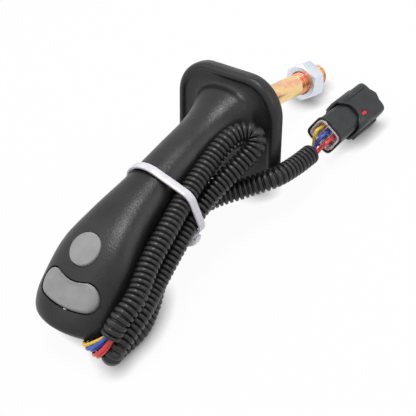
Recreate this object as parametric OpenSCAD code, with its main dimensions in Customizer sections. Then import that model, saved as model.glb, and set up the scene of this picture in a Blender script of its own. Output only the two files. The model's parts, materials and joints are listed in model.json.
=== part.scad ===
// Industrial joystick handle with its tied-up harness, lying on a table.
// The handle is built upright in its own frame: x across, y the way the grip leans,
// z along the stud's axis, with z = 0 on the flange's grip side. One transform, placed(),
// lays it down. Harness, tie and connector are built where they lie, in the table frame.

/* [Flange] */
// Width of the flange
flange_w = 75; // [70:0.5:78]
// Flange edge on the thumb side, from the stud's axis
flange_near = 31; // [29:0.5:33]
// Flange edge on the far side, from the stud's axis
flange_far = 43; // [42:0.5:44]
// Corner radius of the flange
flange_r = 23; // [18:0.5:24]
// Thickness of the flange
flange_t = 9; // [8:0.5:10]

/* [Stud and nut] */
// Thread diameter of the stud
stud_d = 14; // [12:1:14]
// Thread pitch
pitch = 2; // [1.5:0.25:2]
// Length of the stud below the flange
stud_out = 88; // [80:1:90]
// Length of the thread
thread_len = 26; // [20:2:30]
// Free thread beyond the nut
thread_free = 10; // [8:0.5:11]
// Nut size across flats
nut_af = 22; // [21:0.5:22]
// Nut height
nut_h = 11; // [8:0.5:12]

/* [Buttons] */
// Diameter of the round button
horn_d = 19.6; // [18:0.2:20]
// Travel of the round button
horn_travel = 2; // [1:0.25:2]
// Half length of the kidney button
rocker_l = 21; // [19:0.5:21.5]
// Half height of the kidney button
rocker_h = 8; // [7:0.25:8.25]
// Largest tilt of the kidney button, degrees
rocker_tilt = 4; // [2:0.5:4]
// Height of the caps above the moulding
proud = 0.7; // [0.4:0.1:1]

/* [Harness] */
// Outer diameter of the corrugated conduit
conduit_d = 12.2; // [11:0.2:12.4]
// Diameter of one wire over its insulation
wire_d = 2.1; // [1.8:0.1:2.2]
// Width of the cable tie
tie_w = 4.8; // [3.6:0.2:5]
// Thickness of the cable tie
tie_t = 1.3; // [1:0.1:1.6]

/* [Connector] */
// Width of the rear body
plug_w = 17; // [16:0.5:18]
// Height of the rear body
plug_h = 14; // [13.5:0.5:14.5]
// Width of the front shroud
shroud_w = 22; // [21.5:0.5:24]
// Height of the front shroud
shroud_h = 18.6; // [18:0.2:20]
// Length of the whole connector
plug_l = 41; // [40:1:46]

/* [Fits] */
// Radial play of pins, screws and the stud in their bores
fit = 0.05; // [0.02:0.01:0.08]
// Gap round the button caps
cap_gap = 0.35; // [0.3:0.05:0.5]

/* [Hidden] */
$fn = 48;

// ---- stud heights, down from the flange's grip side ----
stud_end = -flange_t - stud_out;
nut_z = stud_end + thread_free;
thread_core = stud_d / 2 - 0.54 * pitch;
free_from = stud_end + 0.8;
free_to = nut_z - 0.2;
tip_r = thread_core - 0.6;

// ---- placing ----
lie = 20.95;         // tilt that lets the flange's far edge and the head both touch the table
function table_y(p) = p[1] * sin(lie) + p[2] * cos(lie);
module on_table() translate([0, -mid_y, 0]) children();
module placed() on_table() translate([0, 0, rest_h]) rotate([lie - 90, 0, 0]) children();

// ---- grip moulding: sections along the thumb face ----
// each: face point y, z, lean from upright, half width, depth to the axis, depth below it,
// power of the outline on the thumb side and on the far side
SECTIONS = [
    [-24, -4, 0, 25, 22, 22, 2.4, 2.4], [-18.5, 6, 8, 20, 17.5, 18.5, 2.4, 2.4],
    [-9, 22, 19, 16, 15, 16, 2.3, 2.2], [0.5, 46, 22, 15.5, 14.5, 15.5, 2.3, 2.1],
    [12, 72, 25, 16.8, 15, 16, 2.4, 2.1], [24, 97, 33, 21.2, 17, 18, 2.5, 2],
    [37.8, 116.5, 46, 26.5, 19, 19, 2.6, 1.8], [57, 131, 52, 29.5, 20, 19, 2.7, 1.75],
    [67, 138, 56, 28.2, 18, 18, 2.6, 1.75], [73.5, 141.2, 58, 23.5, 14, 14, 2.4, 1.9],
    [77, 141.5, 58, 14, 9, 9, 2.2, 2], [78.5, 139.5, 58, 4, 4, 4, 2, 2]];
STEPS = 4;          // rings per section
RING = 44;          // points on a ring

function cr(a, b, c, d, t) = 0.5 * (2 * b + (c - a) * t + (2 * a - 5 * b + 4 * c - d) * t * t
    + (3 * b - a - 3 * c + d) * t * t * t);
function pick(v, i) = i < 0 ? 2 * v[0] - v[1] : i >= len(v) ? 2 * v[len(v) - 1] - v[len(v) - 2] : v[i];
function spline(v, n) = concat([for (i = [0 : len(v) - 2], k = [0 : n - 1])
    cr(pick(v, i - 1), v[i], v[i + 1], pick(v, i + 2), k / n)], [v[len(v) - 1]]);
function spow(v, p) = sign(v) * pow(abs(v), p);
function section_ring(s, grow) = [for (k = [0 : RING - 1])
    let (a = 360 * k / RING, e = 2 / (sin(a) > 0 ? s[7] : s[6]),
         across = (s[3] + grow) * spow(cos(a), e),
         deep = (sin(a) > 0 ? s[5] + grow : s[4] + grow) * spow(sin(a), e) + s[4])
    [across, s[0] + deep * cos(s[2]), s[1] - deep * sin(s[2])]];

// closed tube through rings of equal count, ends fanned to their middles
module skin(rings) {
    n = len(rings[0]);
    m = len(rings);
    pts = concat([for (r = rings) each r],
        [[for (k = [0 : 2]) mid(rings[0], k)], [for (k = [0 : 2]) mid(rings[m - 1], k)]]);
    faces = concat(
        [for (i = [0 : m - 2], k = [0 : n - 1]) each
            [[i * n + k, (i + 1) * n + k, i * n + (k + 1) % n],
             [i * n + (k + 1) % n, (i + 1) * n + k, (i + 1) * n + (k + 1) % n]]],
        [for (k = [0 : n - 1]) [m * n, k, (k + 1) % n]],
        [for (k = [0 : n - 1]) [m * n + 1, (m - 1) * n + (k + 1) % n, (m - 1) * n + k]]);
    polyhedron(pts, faces, convexity = 6);
}
function mid(r, k) = [for (p = r) 1] * [for (p = r) p[k]] / len(r);

// ---- flange: rounded square rings, rim raised round a shallow floor ----
rim = [[4, 0], [1, 0.3], [0, 2], [0, 0.65 * flange_t], [0.8, flange_t - 1], [2.5, flange_t],
    [4.5, flange_t], [7, flange_t - 1.2], [9, flange_t - 1.6]];
function corner(cx, cy, from, r) = [for (k = [0 : 8]) let (a = from + 90 * k / 8)
    [cx + r * cos(a), cy + r * sin(a)]];
function flange_ring(inset, h) = let (w = flange_w / 2 - flange_r, r = flange_r - inset,
        y0 = flange_r - flange_near, y1 = flange_far - flange_r)
    [for (p = concat(corner(w, y1, 0, r), corner(-w, y1, 90, r),
        corner(-w, y0, 180, r), corner(w, y0, 270, r))) [p[0], p[1], h - flange_t]];

// middle of the handle along the table, from the head's end to the stud's tip
head_end = max([for (s = spline(SECTIONS, STEPS), p = section_ring(s, 0)) table_y(p)]);
mid_y = (head_end + table_y([0, -tip_r, stud_end])) / 2;
// height of the stud's axis at the flange, with the lowest point of grip and flange on the table
function drop(p) = p[1] * cos(lie) - p[2] * sin(lie);
rest_h = max(max([for (s = spline(SECTIONS, STEPS), p = section_ring(s, 0)) drop(p)]),
    max([for (k = rim, p = flange_ring(k[0], k[1])) drop(p)]));

module grip_loft(grow = 0) skin([for (s = spline(SECTIONS, STEPS)) section_ring(s, grow)]);

module flange() skin([for (k = rim) flange_ring(k[0], k[1])]);

// ---- head frame: x across, y toward the head's end, z out of the thumb face ----
horn_at = [0, 37.8, 116.5];
head_tilt = 48;
module at_head() translate(horn_at) rotate([head_tilt, 0, 0]) children();
rocker_y = 23.6;
pivot_z = -12;
pin_r = 1.5;
pin_y = rocker_y - rocker_h - 3.1;
pin_l = 2 * rocker_h + 10;
cap_floor = -14.5;      // underside of the kidney button
ledge_z = -19;          // where the carrier seats
split_z = -26;          // parting plane of the rear cover
cover_y0 = -24;
carrier_t = 2;
carrier_y = [-16, 31.5];
carrier_x = 17;
wall_z = -6;            // inside of the thumb wall
slot_gap = cap_gap + 0.45;
cover_screw_y = [-20, 34.3];
cover_screw_x = 9;
carrier_screw_y = [-12.5, 13.5];
carrier_screw_x = 14.8;

function bean(grow) = [for (k = [0 : 47]) let (a = 7.5 * k,
        x = (rocker_l + grow) * spow(cos(a), 0.78),
        y = (rocker_h + grow) * spow(sin(a), 0.85))
    [x, y + 3.2 - 6.5 * pow(x / rocker_l, 2) / 2]];
module bean_prism(grow, z0, z1) translate([0, rocker_y, z0]) linear_extrude(z1 - z0)
    polygon(bean(grow));

// ---- grommet: leaves the neck on its far side, square to the surface ----
module at_grommet() translate([0, 24.4, 22.5]) rotate([-110, 0, 0]) children();
grommet_r = 5;

module rod(p, q, r) translate(p) rotate([-atan2(norm([q[0] - p[0], q[1] - p[1]]), q[2] - p[2])
    * sign(q[1] - p[1]), 0, 0]) cylinder(r = r, h = norm(q - p));

module head_chambers() {
    translate([-horn_d / 2 - 2.7, -14, split_z - 1]) cube([horn_d + 5.4, 25, wall_z - split_z + 1]);
    translate([-15, 15, split_z - 1]) cube([30, carrier_y[1] - 15, cap_floor - 3 - split_z + 2]);
    translate([-carrier_x, carrier_y[0], split_z - 1])
        cube([2 * carrier_x, carrier_y[1] - carrier_y[0], ledge_z - split_z + 1]);
}

module grip_body() color([0.13, 0.13, 0.14]) placed() difference() {
    union() {
        grip_loft();
        flange();
    }
    at_head() {
        translate([-40, cover_y0, split_z - 40]) cube([80, 80, 40]);
        head_chambers();
        translate([0, 0, -15]) cylinder(r = horn_d / 2 + cap_gap, h = 30);
        bean_prism(slot_gap, cap_floor - 3, 15);
        translate([0, pin_y, pivot_z]) rotate([-90, 0, 0]) cylinder(r = pin_r + fit, h = pin_l);
        for (x = [-1, 1], y = cover_screw_y) translate([x * cover_screw_x, y, split_z - 1])
            cylinder(r = 1.5 + fit, h = 8);
        for (x = [-1, 1], y = carrier_screw_y) translate([x * carrier_screw_x, y, ledge_z - 1])
            cylinder(r = 1.25 + fit, h = 7);
    }
    rod([0, 12, 27], [0, 45, 93], 4.5);
    at_grommet() translate([0, 0, -14]) cylinder(r = grommet_r, h = 30);
    translate([0, 0, -flange_t - 1]) cylinder(r = insert_r + fit, h = flange_t + 1 + insert_top);
    translate([0, 0, -flange_t - 1]) linear_extrude(1 + plate_t) plate_outline(0.1);
    for (p = base_screw_at) translate([p[0], p[1], -flange_t]) cylinder(r = 2 + fit, h = 6.5);
}

module rear_cover() color([0.15, 0.15, 0.16]) placed() difference() {
    intersection() {
        grip_loft();
        at_head() translate([-40, cover_y0 + 0.15, split_z - 40]) cube([80, 79, 40]);
    }
    at_head() {
        translate([-14, -14, split_z - 8]) cube([28, 44, 9]);
        for (x = [-1, 1], y = cover_screw_y) translate([x * cover_screw_x, y, split_z]) {
            translate([0, 0, -30]) cylinder(r = 1.5 + fit, h = 31);
            translate([0, 0, -30]) cylinder(r = 3.2, h = 30 - 4);
        }
    }
}

module cover_screws() color([0.25, 0.25, 0.26]) placed() at_head()
    for (x = [-1, 1], y = cover_screw_y) translate([x * cover_screw_x, y, split_z - 4]) {
        cylinder(r = 1.5, h = 10.5);
        difference() {
            translate([0, 0, -2.4]) cylinder(r = 2.8, h = 2.4);
            translate([0, 0, -2.5]) cylinder(r = 1.3, h = 1.4, $fn = 6);
        }
    }

// ---- flange side: insert, plate, stud, nut ----
insert_r = 9.5;
insert_top = 13;
plate_t = 2.5;
base_screw_at = [[-23, -16], [23, -16], [-23, 28], [23, 28]];
module plate_outline(grow) {
    w = flange_w / 2 - 6 + grow;
    r = flange_r - 6 + grow;
    y0 = 6 - flange_near - grow;
    y1 = flange_far - 6 + grow;
    translate([-w + r, y0]) square([2 * (w - r), y1 - y0]);
    translate([-w, y0 + r]) square([2 * w, y1 - y0 - 2 * r]);
    for (x = [-w + r, w - r], y = [y0 + r, y1 - r]) translate([x, y]) circle(r);
}

module threaded_insert() color([0.72, 0.6, 0.3]) placed() difference() {
    translate([0, 0, plate_t - flange_t]) cylinder(r = insert_r, h = flange_t - plate_t + insert_top);
    translate([0, 0, -flange_t - 1]) cylinder(r = stud_d / 2 + fit, h = flange_t + 1 + insert_top - 2);
}

module base_plate() color([0.6, 0.61, 0.63]) placed() difference() {
    translate([0, 0, -flange_t]) linear_extrude(plate_t) plate_outline(0);
    translate([0, 0, -flange_t - 1]) cylinder(r = stud_d / 2 + fit, h = plate_t + 2);
    for (p = base_screw_at) translate([p[0], p[1], -flange_t]) {
        translate([0, 0, -1]) cylinder(r = 2 + fit, h = plate_t + 2);
        cylinder(r1 = 4 + fit, r2 = 2 + fit, h = 2);
    }
}

module base_screws() color([0.7, 0.7, 0.72]) placed() for (p = base_screw_at)
    translate([p[0], p[1], -flange_t]) difference() {
        union() {
            cylinder(r = 2, h = 6);
            cylinder(r1 = 4, r2 = 2, h = 2);
        }
        translate([0, 0, -0.5]) cylinder(r = 1.25, h = 1.8, $fn = 6);
    }

// the free end past the nut is a plain pin, and the rings of the thread start under the nut
module stud() color([0.85, 0.7, 0.35]) placed() rotate_extrude() polygon(concat(
    [[0, stud_end], [tip_r, stud_end], [stud_d / 2, free_from], [stud_d / 2, free_to]],
    [for (k = [0 : floor((thread_len - thread_free) / pitch) - 1]) each let (z = nut_z + k * pitch)
        [[thread_core, z + 0.1 * pitch], [stud_d / 2, z + 0.42 * pitch],
         [stud_d / 2, z + 0.58 * pitch], [thread_core, z + 0.9 * pitch]]],
    [[thread_core, free_from + thread_len], [stud_d / 2, free_from + 1 + thread_len],
     [stud_d / 2, -flange_t], [stud_d / 2 - fit, -flange_t], [stud_d / 2 - fit, insert_top - 2],
     [0, insert_top - 2]]));

module lock_nut() color([0.8, 0.83, 0.86]) placed() translate([0, 0, nut_z]) difference() {
    intersection() {
        cylinder(r = nut_af / sqrt(3), h = nut_h, $fn = 6);
        union() {
            cylinder(r1 = nut_af * 0.475, r2 = nut_af * 0.6, h = nut_h / 4);
            translate([0, 0, nut_h / 4]) cylinder(r = nut_af * 0.6, h = nut_h / 2);
            translate([0, 0, nut_h * 3 / 4]) cylinder(r1 = nut_af * 0.6, r2 = nut_af * 0.475, h = nut_h / 4);
        }
    }
    translate([0, 0, -1]) cylinder(r = stud_d / 2 + fit, h = nut_h + 2);
    translate([0, 0, -0.01]) cylinder(r1 = stud_d / 2 + 0.9, r2 = stud_d / 2 + fit, h = 1);
    translate([0, 0, nut_h - 0.99]) cylinder(r1 = stud_d / 2 + fit, r2 = stud_d / 2 + 0.9, h = 1);
}

// ---- round button ----
lip_z = wall_z - 0.4;
switch_top = -12.5;
stem_z = switch_top + horn_travel + 0.9;   // the stem stays clear of the switch when pressed
plunger_l = 3.4;
plunger_r = 1.5;
module horn_cap() color([0.68, 0.67, 0.67]) placed() at_head() rotate_extrude() polygon([
    [0, stem_z], [2.5, stem_z], [2.5, lip_z - 1.4], [horn_d / 2 + 1.2, lip_z - 1.4],
    [horn_d / 2 + 1.2, lip_z], [horn_d / 2, lip_z], [horn_d / 2, proud - 0.6],
    [horn_d / 2 - 0.6, proud], [horn_d / 4, proud + 0.35], [0, proud + 0.5]]);

module horn_plunger() color([0.2, 0.3, 0.7]) placed() at_head()
    translate([0, 0, stem_z - plunger_l]) cylinder(r = plunger_r, h = plunger_l);

module horn_switch() color([0.1, 0.1, 0.1]) placed() at_head() difference() {
    translate([-3.5, -3.5, ledge_z]) cube([7, 7, switch_top - ledge_z]);
    translate([0, 0, stem_z - plunger_l - horn_travel - 0.3]) cylinder(r = plunger_r + fit, h = 10);
}

// coil of wire between two heights: rings swept round a helix
module coil(r, wire, z0, z1, turns) {
    steps = ceil(turns * 12);
    rise = (z1 - z0 - wire) / steps;
    skin([for (i = [0 : steps]) let (a = 30 * i, h = z0 + wire / 2 + rise * i)
        [for (k = [0 : 5]) let (b = 60 * k, q = r + wire / 2 * cos(b))
            [q * cos(a), q * sin(a), h - wire / 2 * sin(b)]]]);
}
module horn_spring() color([0.75, 0.76, 0.78]) placed() at_head()
    coil(5.6, 0.9, ledge_z, lip_z - 1.4, 4);

// ---- kidney button ----
cap_lean = 38;          // slope of the thumb face at the kidney button
module rocker_cap() color([0.68, 0.67, 0.67]) placed() difference() {
    intersection() {
        translate(proud * [0, -sin(cap_lean), cos(cap_lean)]) grip_loft();
        at_head() bean_prism(0, cap_floor, 10);
    }
    at_head() translate([0, 0, pivot_z]) rotate([-90, 0, 0]) cylinder(r = pin_r + fit, h = 60);
}

module rocker_pin() color([0.8, 0.81, 0.83]) placed() at_head()
    translate([0, pin_y, pivot_z]) rotate([-90, 0, 0]) cylinder(r = pin_r, h = pin_l);

rocker_switch_x = 6.5;
rocker_spring_x = 12.3;
nub_z = cap_floor - rocker_switch_x * sin(rocker_tilt) - 0.3;
module rocker_switches() color([0.12, 0.12, 0.12]) placed() at_head() for (s = [-1, 1])
    translate([s * rocker_switch_x, rocker_y + 2, ledge_z]) {
        translate([-2.6, -5, 0]) cube([5.2, 10, 2.6]);
        cylinder(r = 1.2, h = nub_z - ledge_z);
    }
module rocker_springs() color([0.75, 0.76, 0.78]) placed() at_head() for (s = [-1, 1])
    translate([s * rocker_spring_x, rocker_y + 2, 0]) coil(1.9, 0.5, ledge_z, cap_floor, 4);

// ---- carrier and board ----
board_z = ledge_z - carrier_t - 2;
module switch_carrier() color([0.85, 0.84, 0.78]) placed() at_head() difference() {
    union() {
        translate([-carrier_x + 0.2, carrier_y[0] + 0.2, ledge_z - carrier_t])
            cube([2 * carrier_x - 0.4, carrier_y[1] - carrier_y[0] - 0.4, carrier_t]);
        for (x = [-10, 10], y = [-6, 25]) translate([x, y, board_z]) cylinder(r = 1.8, h = 2.5);
    }
    for (x = [-1, 1], y = carrier_screw_y) translate([x * carrier_screw_x, y, board_z])
        cylinder(r = 1.25 + fit, h = 8);
}
module carrier_screws() color([0.7, 0.7, 0.72]) placed() at_head()
    for (x = [-1, 1], y = carrier_screw_y) translate([x * carrier_screw_x, y, ledge_z - carrier_t]) {
        cylinder(r = 1.25, h = 7.5);
        translate([0, 0, -1.3]) cylinder(r = 2.1, h = 1.3);
    }
module switch_board() color([0.1, 0.4, 0.2]) placed() at_head()
    translate([-12.5, -9.5, board_z - 1.6]) cube([25, 38, 1.6]);

module wire_grommet() color([0.08, 0.08, 0.08]) placed() at_grommet() difference() {
    union() {
        translate([0, 0, -6]) cylinder(r = grommet_r, h = 6);
        translate([0, 0, 0]) cylinder(r1 = grommet_r + 1.6, r2 = grommet_r + 0.6, h = 2);
    }
    translate([0, 0, -7]) cylinder(r = 2.9, h = 7);
}

// ---- harness, in the table frame ----
plug_at = [-40.5, -36, shroud_h / 2];
plug_turn = -12;
wire_end = -8;
function in_plug(p) = plug_at + [p[0] * cos(plug_turn) - p[1] * sin(plug_turn),
    p[0] * sin(plug_turn) + p[1] * cos(plug_turn), p[2]];
// swept tube: rings square to the path, turned with the least twist
function unit(v) = v / max(norm(v), 1e-9);
function tangent(p, i) = unit(p[min(i + 1, len(p) - 1)] - p[max(i - 1, 0)]);
function carry(u, t) = unit(u - (u * t) * t);
function frames(p, i, u) = i >= len(p) ? []
    : let (t = tangent(p, i), w = carry(u, t)) concat([[w, cross(t, w)]], frames(p, i + 1, w));
module tube(p, d, sides) {
    first = abs(tangent(p, 0)[2]) < 0.8 ? [0, 0, 1] : [1, 0, 0];
    f = frames(p, 0, first);
    skin([for (i = [0 : len(p) - 1]) [for (k = [0 : sides - 1])
        let (a = 360 * k / sides) p[i] + d / 2 * (cos(a) * f[i][0] + sin(a) * f[i][1])]]);
}

// the conduit's route: up beside the grip, back down, up again and out to the connector
CONDUIT = [[-34.6, 149.8, 24], [-36.4, 141.5, 30], [-36.4, 127, 33.2], [-31, 107.5, 38],
    [-27.3, 85.5, 42.5], [-22.9, 62, 45.5], [-21, 38, 49], [-22, 22, 52], [-25, 13, 52],
    [-31, 9, 50], [-34, 14, 45], [-31.5, 26, 41], [-27.5, 42, 37], [-25.5, 62, 32.5],
    [-27.5, 84, 27.5], [-30.8, 106, 23], [-35.7, 127, 20.6], [-36.2, 143, 17.6],
    [-35, 150.5, 14.3], [-32, 152.2, 9.4], [-30.2, 146, 6.8], [-31.2, 130, 6.4], [-27.6, 116, 8],
    [-22.5, 102, 12], [-18, 84, 18.5], [-15.7, 62, 24.6], [-19.5, 44, 23.5], [-31, 28, 23],
    [-43, 14, 24], [-45, -3, 19.5], [-44.5, -20, 15]];
// common route of the five wires, grommet to conduit
LOOSE = [[0, 29, 26], [0, 34, 20], [-1, 48, 20.3], [-1, 61, 20.8], [-1, 75, 19.6], [-6, 91, 9.5],
    [-15, 109, 3], [-19, 124, 1.4], [-18.2, 138, 1.4], [-17.2, 148, 3.5], [-20.5, 156.5, 9],
    [-27, 159, 16], [-32.6, 155, 21.4], CONDUIT[0]];
SPACING = wire_d + 0.2;   // wire to wire, side by side
bunch_r = 0.9 * wire_d;   // circle of the five wires in a bunch
BUNCH = [for (a = [162, 234, 90, 306, 18]) bunch_r * [cos(a), sin(a)]];
WAYS = [[-4.5, 2.5], [-4.5, -2.5], [0, 2.5], [4.5, -2.5], [4.5, 2.5], [0, -2.5]];
// sideways direction at a route point
function side(p, i) = let (t = tangent(p, i)) unit([t[1], -t[0], 0]);
// offset of wire k: w = 0 in the bunch, w = 1 in the row
function lane(k, w) = (1 + 0.9 * w * (1 - w)) * ((1 - w) * BUNCH[k] + w * [(k - 2) * SPACING, 0]);
function off_route(p, i, o) = p[i] + o[0] * side(p, i) + o[1] * cross(side(p, i), tangent(p, i));

module wire(k, c) color(c) on_table() {
    p = spline(LOOSE, 2);
    last = len(p) - 1;
    tube([for (i = [0 : last]) off_route(p, i, lane(k, min(1, i / 6, (last - i) / 6)))], wire_d, 8);
    out = CONDUIT[len(CONDUIT) - 1];
    b = [BUNCH[k][0], 0, BUNCH[k][1]];
    tube(spline([out + b, out + [0.6, -5, -1.4] + 1.1 * b, in_plug([WAYS[k][0], 3, WAYS[k][1]]),
        in_plug([WAYS[k][0], -3, WAYS[k][1]]), in_plug([WAYS[k][0], wire_end, WAYS[k][1]])], 2), wire_d, 8);
}
module wire_yellow() wire(0, [0.95, 0.75, 0.15]);
module wire_blue() wire(1, [0.15, 0.25, 0.75]);
module wire_red() wire(2, [0.85, 0.15, 0.2]);
module wire_blue_two() wire(3, [0.15, 0.25, 0.75]);
module wire_red_two() wire(4, [0.85, 0.15, 0.2]);
module conduit() color([0.08, 0.08, 0.08]) on_table() tube(spline(CONDUIT, 2), conduit_d, 10);

// ---- tie ----
tie_y = 65.8;
tie_slant = 5;          // lean of the tie, its lower side nearer the head of the grip
tie_pivot_z = 50;
grip_at_tie = [0, 42.8];
module tied(grow) hull() {
    translate(grip_at_tie) scale([17.1 + grow, 16.2 + grow]) circle(1, $fn = 32);
    for (p = [[-23.6, 45.1], [-26, 31.3], [-16.4, 23]]) translate(p)
        circle(conduit_d / 2 + 0.3 + grow, $fn = 32);
    for (s = [-2, 2]) translate([s * SPACING - 1, 19.4]) circle(wire_d / 2 + 0.4 + grow, $fn = 24);
}
module at_tie() on_table() translate([0, tie_y, tie_pivot_z]) rotate([tie_slant, 0, 0])
    translate([0, 0, -tie_pivot_z]) rotate([90, 0, 0]) children();
module tie_strap() color([0.85, 0.84, 0.86]) at_tie() translate([0, 0, -tie_w / 2])
    linear_extrude(tie_w) difference() {
        tied(0.4 + tie_t);
        tied(0.4);
    }
// head of the tie on the strap's lower left side, x outward, y along the strap
tie_head_at = [-17.4, 23.8];
tie_head_turn = 231.2;
head_off = conduit_d / 2 + 0.7 + tie_t;
module tie_head() color([0.85, 0.84, 0.86]) at_tie() translate(tie_head_at) rotate(tie_head_turn)
    translate([head_off, 0, 0]) {
        translate([0.05, -3.8, -3.6]) cube([4.6, 7.6, 7.2]);
        translate([2.2, -6.6, -tie_w / 2]) cube([tie_t, 5, tie_w]);
    }

// ---- connector: front toward -y of its own frame ----
module at_plug() on_table() translate(plug_at) rotate([0, 0, plug_turn]) children();
terminal_r = 1;
module bores(y, r, h) for (w = WAYS) translate([w[0], y, w[1]]) rotate([-90, 0, 0]) cylinder(r = r, h = h);
body_l = plug_l * 0.6;
shroud_l = plug_l * 0.55;
module connector_body() color([0.1, 0.1, 0.11]) at_plug() difference() {
    translate([-plug_w / 2, -body_l, -plug_h / 2]) cube([plug_w, body_l, plug_h]);
    translate([-plug_w / 2 + 2, -10, -plug_h / 2 + 2]) cube([plug_w - 4, 11, plug_h - 4]);
    bores(-body_l - 1, terminal_r + 0.1, body_l);
}
module connector_shroud() color([0.12, 0.12, 0.13]) at_plug() difference() {
    union() {
        translate([-shroud_w / 2, -plug_l, -shroud_h / 2]) cube([shroud_w, shroud_l, shroud_h]);
        for (s = [-1, 1]) translate([s * (shroud_w / 2 + 0.6) - 0.6, -plug_l + 4, -3])
            cube([1.2, shroud_l - 8, 6]);
    }
    translate([-plug_w / 2 - fit, -body_l - fit, -plug_h / 2 - fit])
        cube([plug_w + 2 * fit, body_l + 1, plug_h + 2 * fit]);
    translate([-shroud_w / 2 + 2, -plug_l - 1, -shroud_h / 2 + 2])
        cube([shroud_w - 4, plug_l - body_l - 2, shroud_h - 4]);
    bores(-plug_l, terminal_r + 0.1, plug_l);
    translate([-4, -plug_l + 14, plug_h / 2 - 1]) cube([8, 5, 5]);
}
module wire_retainer() color([0.85, 0.82, 0.84]) at_plug() difference() {
    translate([-plug_w / 2 + 2.2, -9, -plug_h / 2 + 2.2]) cube([plug_w - 4.4, 5, plug_h - 4.4]);
    bores(-10, wire_d / 2 + 0.1, 8);
}
module lock_slide() color([0.8, 0.08, 0.06]) at_plug()
    translate([-3.9, -plug_l + 14.1, plug_h / 2 + fit]) cube([7.8, 4.8, shroud_h / 2 - plug_h / 2 - 0.6]);
module terminals() color([0.8, 0.65, 0.3]) at_plug()
    bores(-plug_l + 9, terminal_r, plug_l - 9 + wire_end);
module wire_seal() color([0.7, 0.35, 0.15]) at_plug() difference() {
    translate([-plug_w / 2 + 2, -10, -plug_h / 2 + 2]) cube([plug_w - 4, 1, plug_h - 4]);
    bores(-11, terminal_r + 0.05, 3);
}

grip_body();
rear_cover();
cover_screws();
threaded_insert();
base_plate();
base_screws();
stud();
lock_nut();
horn_cap();
horn_plunger();
horn_spring();
horn_switch();
rocker_cap();
rocker_pin();
rocker_springs();
rocker_switches();
switch_carrier();
carrier_screws();
switch_board();
wire_grommet();
wire_yellow();
wire_blue();
wire_red();
wire_blue_two();
wire_red_two();
conduit();
tie_strap();
tie_head();
connector_body();
connector_shroud();
wire_retainer();
lock_slide();
terminals();
wire_seal();
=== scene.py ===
# %% [markdown]
# # An excavator's control handle
# A black moulded grip with two grey thumb buttons stands on a flange, a zinc-plated stud with
# a lock nut leaves the flange, and a harness in corrugated conduit is folded beside the grip
# and held by a white tie. The CAD model is loaded first, because every piece here takes its
# place and its moving body from it.

# %% Load the frame
import json
import bpy
import numpy as np
from mathutils import Matrix, Vector


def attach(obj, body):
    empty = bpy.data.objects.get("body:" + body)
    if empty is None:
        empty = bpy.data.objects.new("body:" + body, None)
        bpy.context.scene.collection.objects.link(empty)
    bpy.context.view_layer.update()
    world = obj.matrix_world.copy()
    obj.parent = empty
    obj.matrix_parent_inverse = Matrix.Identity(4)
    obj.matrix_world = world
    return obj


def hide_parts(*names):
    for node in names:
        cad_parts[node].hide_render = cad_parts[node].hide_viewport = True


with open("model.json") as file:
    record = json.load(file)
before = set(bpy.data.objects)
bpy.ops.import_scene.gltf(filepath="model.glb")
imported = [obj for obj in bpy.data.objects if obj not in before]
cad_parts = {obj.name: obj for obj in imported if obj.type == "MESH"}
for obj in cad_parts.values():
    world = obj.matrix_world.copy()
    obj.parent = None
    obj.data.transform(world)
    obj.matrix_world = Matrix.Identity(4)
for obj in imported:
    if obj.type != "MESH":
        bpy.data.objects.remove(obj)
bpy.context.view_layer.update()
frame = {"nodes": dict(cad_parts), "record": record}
nodes = frame["nodes"]

# %% [markdown]
# ## Three frames
# The handle was drawn upright, so its own frame has z along the stud. On the table it lies
# tilted. The thumb face has a third frame, square to its surface, where the buttons are simple
# flat outlines. Two short functions turn whole arrays of points from one frame to the next.

# %% Frames, in millimetres
LIE = np.radians(20.95)
REST = 42.70
MIDDLE = 33.594
HEAD_AT = np.array([0, 37.8, 116.5])
HEAD_TILT = np.radians(48)


def turned_by(a, b, angle):
    """Two coordinates turned in their plane: a cos - b sin, a sin + b cos."""
    c, s = np.cos(angle), np.sin(angle)
    return a * c - b * s, a * s + b * c


def on_table(points):
    """From the harness's table frame to the model's: y less the middle of the handle."""
    return np.asarray(points, float) - [0, MIDDLE, 0]


def laid_down(points):
    """Handle frame to the model's: along = y sin + z cos, up = rest height - y cos + z sin."""
    x, y, z = np.moveaxis(np.asarray(points, float), -1, 0)
    along = y * np.sin(LIE) + z * np.cos(LIE)
    up = REST - y * np.cos(LIE) + z * np.sin(LIE)
    return on_table(np.stack([x, along, up], -1))


def from_head(points):
    """Thumb-face frame to the handle frame: a turn about x by the head's tilt, then a shift."""
    x, y, z = np.moveaxis(np.asarray(points, float), -1, 0)
    return np.stack([x, *turned_by(y, z, HEAD_TILT)], -1) + HEAD_AT


def to_head(points):
    """Handle frame to the thumb-face frame, the inverse turn."""
    x, y, z = np.moveaxis(np.asarray(points, float) - HEAD_AT, -1, 0)
    z, y = turned_by(z, y, HEAD_TILT)
    return np.stack([x, y, z], -1)


print("the head's frame starts at", laid_down(HEAD_AT).round(1), "mm")

# %% [markdown]
# ## The camera
# The view is a long lens from above the head's left side. The three directions of the camera
# are written as a matrix, which is plainer than angles.

# %% Camera
CAMERA_AT = on_table([-371.1, 327.9, 448.1]) / 1000
CAMERA_RIGHT, CAMERA_BACK = (-0.759, -0.612, -0.223), (-0.567, 0.451, 0.690)
camera = bpy.data.objects.new("camera", bpy.data.cameras.new("camera"))
bpy.context.scene.collection.objects.link(camera)
right = Vector(CAMERA_RIGHT).normalized()
back = Vector(CAMERA_BACK).normalized()
up = back.cross(right).normalized()
right = up.cross(back)
place = Matrix((right, up, back)).transposed().to_4x4()
place.translation = Vector(CAMERA_AT)
camera.matrix_world = place
camera.data.lens = 92.5
camera.data.sensor_width = 36
camera.data.clip_start = 0.01
bpy.context.scene.camera = camera
print("camera", round(place.translation.length, 2), "m from the middle of the table")

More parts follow.
